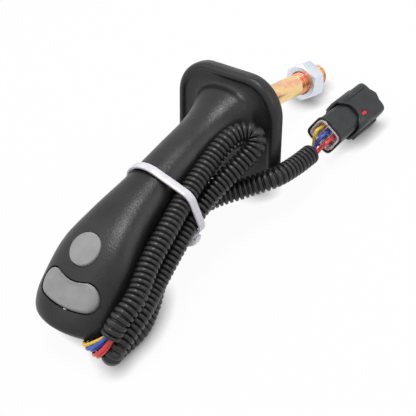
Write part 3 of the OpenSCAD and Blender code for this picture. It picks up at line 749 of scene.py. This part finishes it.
piece("kidney_button", [closed(laid_down(from_head(kidney_rings())))], button_grey, "rocker",
      ["rocker_cap"], 50)

# %% [markdown]
# ## Stud and lock nut
# A thread is one profile carried round a helix, so on a grid of height and angle its radius
# depends on height minus pitch times the share of a turn. That is a single line of numpy. The
# nut is a hexagon whose corners are cut by a cone, which draws the curved edges on its flats.

# %% Stud with a rolled thread
PITCH, STUD_R, STUD_OUT, THREAD_LEN, THREAD_FREE = 2, 7, 88, 26, 10
CORE = STUD_R - 0.54 * PITCH
STUD_END = -FLANGE_T - STUD_OUT
NUT_AF, NUT_H = 22, 11


def thread_rings(low, high, sides=72):
    """Radius = core + depth times a flat-topped tooth of (height - pitch turn), fading out at
    both ends of the thread."""
    z = np.arange(low, high + 1e-6, 0.125)[:, None]
    a = np.arange(sides)[None] / sides
    phase = np.mod((z - low) / PITCH - a, 1)
    tooth = np.clip(1.35 - np.abs(phase - 0.5) * 3.4, 0, 1)
    tip = np.clip((z - low) / 1.3, 0, 1)
    run_out = np.clip((high - z) / 2.5, 0, 1)
    r = CORE - 0.5 + 0.5 * tip + (STUD_R - CORE) * (tooth * tip * run_out + (1 - run_out))
    r = np.minimum(r, STUD_R)
    return np.stack([r * np.cos(2 * np.pi * a), r * np.sin(2 * np.pi * a), z + 0 * a], -1)


threaded = thread_rings(STUD_END, STUD_END + THREAD_LEN + 2)
piece("stud_thread", [closed(laid_down(threaded))], thread_zinc, "handle")
SHANK = [(STUD_R, STUD_END + THREAD_LEN + 1.5), (STUD_R, -60), (STUD_R, -40), (STUD_R, -20),
         (STUD_R, -9.2), (STUD_R - 0.05, -9), (STUD_R - 0.05, 10.6), (STUD_R - 0.6, 11)]
piece("stud_shank", [closed(laid_down(turned(SHANK, 72)))], yellow_zinc, "handle",
      ["stud"])

# %% Hexagon nut


def nut_rings(sides=144):
    """Hexagon radius = half flats / cos of the angle to the nearest flat; the chamfer cone
    lowers the rim in proportion to how far the hexagon stands outside the cone's circle."""
    a = np.arange(sides) / sides * 2 * np.pi
    off = np.mod(a + np.pi / 6, np.pi / 3) - np.pi / 6
    hexagon = NUT_AF / 2 / np.cos(off)
    start, face = NUT_AF * 0.475, NUT_H / 2
    bore, mouth = CORE + 0.15, STUD_R + 0.7
    drop = (hexagon - start) * np.tan(np.radians(30))
    rows = [(bore, 0), (bore, face - 1.6), (mouth, face - 0.15), (mouth + 0.15, face),
            (start - 0.2, face), (start + 0.1, face - 0.03)]
    rows += [(start + (hexagon - start) * s, face - drop * s) for s in (0.3, 0.6, 0.9)]
    rows += [(hexagon - 0.08, face - drop - 0.1), (hexagon, face - drop - 0.35), (hexagon, 0)]
    top = np.array([np.stack([r * np.cos(a), r * np.sin(a), z + 0 * a], -1) for r, z in rows])
    under = top[::-1][1:] * [1, 1, -1]
    return np.concatenate([top, under])[:-1] + [0, 0, STUD_END + THREAD_FREE + face]


piece("hex_nut", [closed(laid_down(nut_rings()), loop=True)], zinc_blue, "handle",
      ["lock_nut"], 30)

# %% [markdown]
# ## The tie
# A cable tie lies taut, so its loop is the rubber-band hull of what it holds. For each
# direction the farthest circle gives one point of that hull. The strap's small section is then
# carried round the loop, with fine ribs across its outer face where the lock's tooth grips.

# %% Strap
TIE_Y, TIE_SLANT, TIE_PIVOT, TIE_W, TIE_T = 65.8, np.radians(5), 50, 4.8, 1.3
HELD = [(-23.6, 45.1, 6.4), (-26, 31.3, 6.4), (-16.4, 23, 6.4), (-5.6, 19.4, 1.45),
        (3.6, 19.4, 1.45)]
GRIP_MID, GRIP_HALF, SLACK, RIB = np.array([0, 42.8]), np.array([17.1, 16.2]), 0.4, 0.1


def on_tie(points):
    """Strap plane (across, up, width) to the model: a small lean about the pivot height."""
    x, z, y = np.moveaxis(np.asarray(points, float), -1, 0)
    c, s = np.cos(TIE_SLANT), np.sin(TIE_SLANT)
    return on_table(np.stack([x, TIE_Y + y * c - (z - TIE_PIVOT) * s,
                              TIE_PIVOT + y * s + (z - TIE_PIVOT) * c], -1))


def strap_line(grow):
    """Hull of the circles and the grip's oval: for each direction the farthest point."""
    a = np.linspace(0, 2 * np.pi, 721)[:-1]
    n = np.stack([np.cos(a), np.sin(a)], -1)
    half = GRIP_HALF + grow
    reach = [n @ np.array([x, z]) + r + grow for x, z, r in HELD]
    points = [np.array([x, z]) + (r + grow) * n for x, z, r in HELD]
    long = np.linalg.norm(half * n, axis=1)
    reach.append(n @ GRIP_MID + long)
    points.append(GRIP_MID + half ** 2 * n / long[:, None])
    best = np.argmax(reach, axis=0)
    line = np.array(points)[best, np.arange(len(a))]
    step = np.linalg.norm(np.diff(np.vstack([line, line[:1]]), axis=0), axis=1)
    s = np.concatenate([[0], np.cumsum(step)])
    new = np.linspace(0, s[-1], 401)[:-1]
    ring = np.stack([np.interp(new, s, np.append(c, c[0])) for c in line.T], -1)
    out = np.roll(ring, -1, 0) - np.roll(ring, 1, 0)
    out = np.stack([out[:, 1], -out[:, 0]], -1)
    return ring, out / np.linalg.norm(out, axis=1, keepdims=True)


ring, out = strap_line(SLACK + TIE_T / 2)
corner = [(0.5, 2.15), (0.38, 2.36), (0, 2.4), (-0.38, 2.36), (-0.5, 2.15)]
section = np.array([(t * TIE_T, w) for t, w in corner] + [(-t * TIE_T, -w) for t, w in corner])
rib = np.where(np.arange(len(ring)) % 2, RIB, -RIB)[:, None]
strap_rings = np.stack([np.column_stack([ring + (t + rib * (t > 0) * (abs(w) < 2.2)) * out,
                                         np.full(len(ring), w)]) for t, w in section], 1)
piece("tie_band", [closed(on_tie(strap_rings), loop=True)], tie_white, "handle",
      ["tie_strap"])

# %% Head of the tie, with the cut tail through it
LOCK_MID, LOCK_TURN = (-17.4, 23.8), np.radians(231.2)


def on_tie_head(points):
    """Head frame (outward, along the strap, width) to the model."""
    x, y, z = np.moveaxis(np.asarray(points, float), -1, 0)
    x, y = turned_by(x, y, LOCK_TURN)
    return on_tie(np.stack([x, y, z], -1) + [*LOCK_MID, 0])


seat = CONDUIT_D / 2 + 0.7 + TIE_T
block = pillow((6.6, 10, 9), 0.8) + [seat + 2.2, 1, 0]
tail = pillow((TIE_T, 4.4, TIE_W), 0.3) + [seat + 2.4, -3.6, 0]
piece("tie_lock", [closed(on_tie_head(block)), closed(on_tie_head(tail))], tie_white, "handle",
      ["tie_head"])

# %% [markdown]
# ## The sealed connector
# Two moulded shells, one inside the other. Each is a tube of rounded rectangles: the rings run
# from the floor of the rear cavity out over its lip and along the outside. The front shroud is
# raised along the middle of its top, and its rear edge is arched over the latch. The rear mouth
# is cut on a slant, so that the pale retainer and the wires show in it from above.

# %% Connector shells
PLUG_L, SHROUD_AT = 46, 20
MOUTH_SLANT, LINER_SLANT = 3.8, 2.9


def oblong(half_x, half_z, y, square=5, bridge=0.0, count=144):
    """Rounded rectangle x = a C(t), z = b S(t) at depth y, with its top's middle raised."""
    t = np.arange(count) / count * 2 * np.pi
    x, z = signed_power(np.cos(t), 2 / square), signed_power(np.sin(t), 2 / square)
    x, z = x * half_x, z * half_z
    rise = bridge / (1 + (np.abs(x) / 3.1) ** 12) * (z > 0)
    return np.stack([x, y + 0 * t, z + rise], -1)


def in_place(rings):
    """A closed shell from connector rings, at the connector's place."""
    return closed(on_table(in_plug(rings)))


def boxes(corners):
    """Cutters: boxes between pairs of corners in the connector's frame."""
    shapes = []
    for (x0, y0, z0), (x1, y1, z1) in corners:
        ring = np.array([[x0, y0], [x1, y0], [x1, y1], [x0, y1]])
        shapes.append(in_place(np.array([np.column_stack([ring, np.full(4, z)])
                                         for z in (z0, z1)])))
    return shapes


def cut_away(obj, shapes, name):
    """Takes the shapes out of the object and keeps the result as its mesh."""
    obj.data = carved(obj, [cutter(f"{name}_{i}", shape) for i, shape in enumerate(shapes)])
    obj.data.set_sharp_from_angle(angle=np.radians(32))


def slanted(rings, amount, depth):
    """Pushes a mouth's edge forward: by nothing at its bottom and the amount at its top, fading
    out with depth."""
    rise = np.clip((rings[:, :, 2] + 5) / 10, 0, 1)
    rings[:, :, 1] -= amount * rise * np.clip((rings[:, :, 1] + depth) / depth, 0, 1)
    return rings


body_rows = [(8.3, 7, -9.9), (8.6, 7.2, -5), (9, 7.6, -0.5), (9.1, 7.7, -0.05), (9.4, 8, 0),
             (9.9, 8.5, -0.2), (10.1, 8.7, -0.8), (10, 8.6, -3.6), (9.9, 8.4, -4), (9.5, 8, -4.2),
             (9.4, 7.9, -14), (9.4, 7.9, -26)]
body_rings = slanted(np.array([oblong(*r, 4.6) for r in body_rows]), MOUTH_SLANT, 4.3)
connector = piece("connector_rear", [in_place(body_rings)], connector_black, "handle",
                  ["connector_body"], 32)
SLOTS = [(-6.6, -2.4, 7.6, 10), (1.2, 5.2, 7.6, 10), (-11, -9.1, -2, 3)]
cut_away(connector, boxes([((x0, -5.2, z0), (x1, -4.1, z1)) for x0, x1, z0, z1 in SLOTS]), "slot")


def arched(rows):
    """The rear edge of the shroud is pushed forward over the middle of its top, and its front
    edge stands out a little at the bridge."""
    rings = np.array([oblong(*r) for r in rows])
    x, y, z = np.moveaxis(rings, -1, 0)
    rear = np.clip((y + SHROUD_AT + 9) / 9, 0, 1) ** 1.5
    front = np.clip((-PLUG_L + 3 - y) / 3, 0, 1)
    top = (z > 0) / (1 + (np.abs(x) / 6.4) ** 6)
    rings[:, :, 1] = y - 5 * top * rear - 1.4 * front * np.exp(-(x / 3) ** 4) * (z > 0)
    return rings


shroud_rows = [(10, 8.5, -32, 5), (10, 8.5, -SHROUD_AT - 0.6, 5), (10.2, 8.7, -SHROUD_AT - 0.1, 5),
               (10.8, 9.1, -SHROUD_AT, 5, 0.4), (11.4, 9.6, -SHROUD_AT - 0.3, 5, 0.8),
               (11.7, 9.8, -SHROUD_AT - 1, 5, 1), (11.8, 9.9, -27, 5, 1), (11.8, 9.9, -31, 5, 1),
               (11.6, 9.7, -31.6, 5, 0.9), (11.6, 9.7, -36, 5, 0.9),
               (11.6, 9.7, -PLUG_L + 1.6, 5, 0.9), (11.4, 9.5, -PLUG_L + 0.6, 5, 0.8),
               (10.9, 9.1, -PLUG_L, 5, 0.5), (10.3, 8.5, -PLUG_L + 0.2, 5, 0.2),
               (10, 8.2, -PLUG_L + 0.9, 5), (9.8, 8, -33, 5)]
rails = [in_place(pillow((1.7, 20, 8.4), 0.25) + [side * 11.9, -SHROUD_AT - 12, -3.8])
         for side in (-1, 1)]
ribs = [in_place(pillow((0.8, 22, 0.8), 0.3) + [x, -SHROUD_AT - 12.5, 9.85]) for x in (-7.6, 7.6)]
shroud = piece("connector_front", [in_place(arched(shroud_rows)), *rails, *ribs],
               connector_black, "handle", ["connector_shroud"], 32)
WINDOW = (-6.4, -3.6, -SHROUD_AT - 11.6, -SHROUD_AT - 7.4)
x0, x1, y0, y1 = WINDOW
cut_away(shroud, boxes([((x0, y0, 8), (x1, y1, 12))]), "window")
lock = piece("lock_tab", [in_place(pillow((x1 - x0 - 0.3, y1 - y0 - 0.3, 2), 0.2)
                                   + [(x0 + x1) / 2, (y0 + y1) / 2, 8.6])], lock_red, "handle",
             ["lock_slide"])

# %% Inside the mouth: the pale wire retainer, seal and terminals
liner_rows = [(8.2, 6.9, -9.6), (8.7, 7.3, -1.1), (8.6, 7.2, -0.8), (7.8, 6.4, -0.8),
              (7.6, 6.2, -1.2), (7.2, 5.8, -6.5)]
liner = slanted(np.array([oblong(*r, 4.4) for r in liner_rows]), LINER_SLANT, 5)
WALLS = [((0.9, 5, 12), (-2.4, -6.6, 0)), ((0.9, 5, 12), (2.4, -6.6, 0)),
         ((14.6, 5, 0.9), (0, -6.6, 0)), ((2.6, 1.4, 1.5), (4.6, -3.6, 7)),
         ((2.6, 1.4, 1.5), (-3.6, -0.6, -7.2)), ((1.5, 1.4, 2.6), (-8.2, -1.6, -2))]
walls = [in_place(pillow(size, 0.25) + at) for size, at in WALLS]
retainer = piece("retainer_liner", [in_place(liner), *walls], retainer_white, "handle",
                 ["wire_retainer"])
seal = piece("seal_pad", [in_place(pillow((13.6, 1, 10.6), 0.3) + [0, -9.8, 0])], seal_brown,
             "handle", ["wire_seal"])
pins = [in_place(swept(np.array([[x, -8.5, z], [x, -20, z], [x, -PLUG_L + 9, z]]), 1, 16))
        for x, z in [*WAYS, EMPTY_WAY]]
contacts = piece("terminal_row", pins, brass, "handle", ["terminals"])

# %% [markdown]
# ## Floor and light
# A pale floor and a white world keep the metal bright. Both show white to the camera and to
# reflections, but light the object only as an ordinary matte floor and a dim sky would. Close to
# the object the floor's white is dimmed by ambient occlusion, which keeps the contact shadow.

# %% Rays that should see white


def seen_by(tree, *kinds):
    """A socket that is 1 for a ray of any of these kinds: the largest of Light Path's flags."""
    rays = tree.nodes.new("ShaderNodeLightPath")
    socket = rays.outputs[kinds[0]]
    for kind in kinds[1:]:
        either = tree.nodes.new("ShaderNodeMath")
        either.operation = "MAXIMUM"
        tree.links.new(socket, either.inputs[0])
        tree.links.new(rays.outputs[kind], either.inputs[1])
        socket = either.outputs[0]
    return socket


def blended(tree, share, shaders, output):
    """The first shader, turning into the second as the share goes from 0 to 1."""
    mix = tree.nodes.new("ShaderNodeMixShader")
    for source, target in zip((share, *shaders), mix.inputs):
        tree.links.new(source, target)
    tree.links.new(mix.outputs[0], tree.nodes[output].inputs["Surface"])


# %% Floor
FLOOR_HALF, WHITE_SHARE = 4.0, 0.95
corners = [(x * FLOOR_HALF, y * FLOOR_HALF, 0) for x, y in [(-1, -1), (1, -1), (1, 1), (-1, 1)]]
floor_mesh = bpy.data.meshes.new("floor")
floor_mesh.from_pydata(corners, [], [(0, 1, 2, 3)])
floor = bpy.data.objects.new("floor", floor_mesh)
bpy.context.scene.collection.objects.link(floor)
floor_white, tree, shader = blank("floor_white")
shader.inputs["Base Color"].default_value = (0.8, 0.8, 0.8, 1)
shader.inputs["Roughness"].default_value = 0.9
glow = add(tree, "ShaderNodeEmission", Color=(1, 1, 1, 1), Strength=1.0)
under = add(tree, "ShaderNodeAmbientOcclusion", Color=(1, 1, 1, 1), Distance=0.009)
tree.links.new(under.outputs["Color"], glow.inputs["Color"])
part = tree.nodes.new("ShaderNodeMath")
part.operation = "MULTIPLY"
part.inputs[1].default_value = WHITE_SHARE
white_rays = seen_by(tree, "Is Camera Ray", "Is Glossy Ray", "Is Transmission Ray")
tree.links.new(white_rays, part.inputs[0])
blended(tree, part.outputs[0], (shader.outputs[0], glow.outputs[0]), "Material Output")
floor_mesh.materials.append(floor_white)
print("floor", 2 * FLOOR_HALF, "m across")

# %% World and lamps
world = bpy.data.worlds.new("studio")
bpy.context.scene.world = world
world.use_nodes = True
tree = world.node_tree
plain = tree.nodes["Background"]
plain.inputs["Color"].default_value = (1, 1, 1, 1)
plain.inputs["Strength"].default_value = 0.45
white = add(tree, "ShaderNodeBackground", Color=(1, 1, 1, 1), Strength=1.0)
blended(tree, seen_by(tree, "Is Camera Ray", "Is Glossy Ray"),
        (plain.outputs[0], white.outputs[0]), "World Output")


def softbox(name, where, aim, width, power):
    """A square lamp turned so that its back points away from what it lights."""
    lamp = bpy.data.lights.new(name, "AREA")
    lamp.shape, lamp.size, lamp.energy = "SQUARE", width, power
    obj = bpy.data.objects.new(name, lamp)
    bpy.context.scene.collection.objects.link(obj)
    way = Vector(where) - Vector(aim)
    obj.rotation_euler = way.to_track_quat("Z", "Y").to_euler()
    obj.location = where


softbox("key", (0.5, 0.45, 1.0), (0, 0.02, 0.03), 1.0, 3)
softbox("fill", (-0.9, -0.5, 0.7), (0, 0.02, 0.03), 0.8, 3)
softbox("top", (0.03, -0.14, 1.1), (0, -0.04, 0.04), 0.36, 6)
bpy.context.scene.view_settings.view_transform = "Standard"
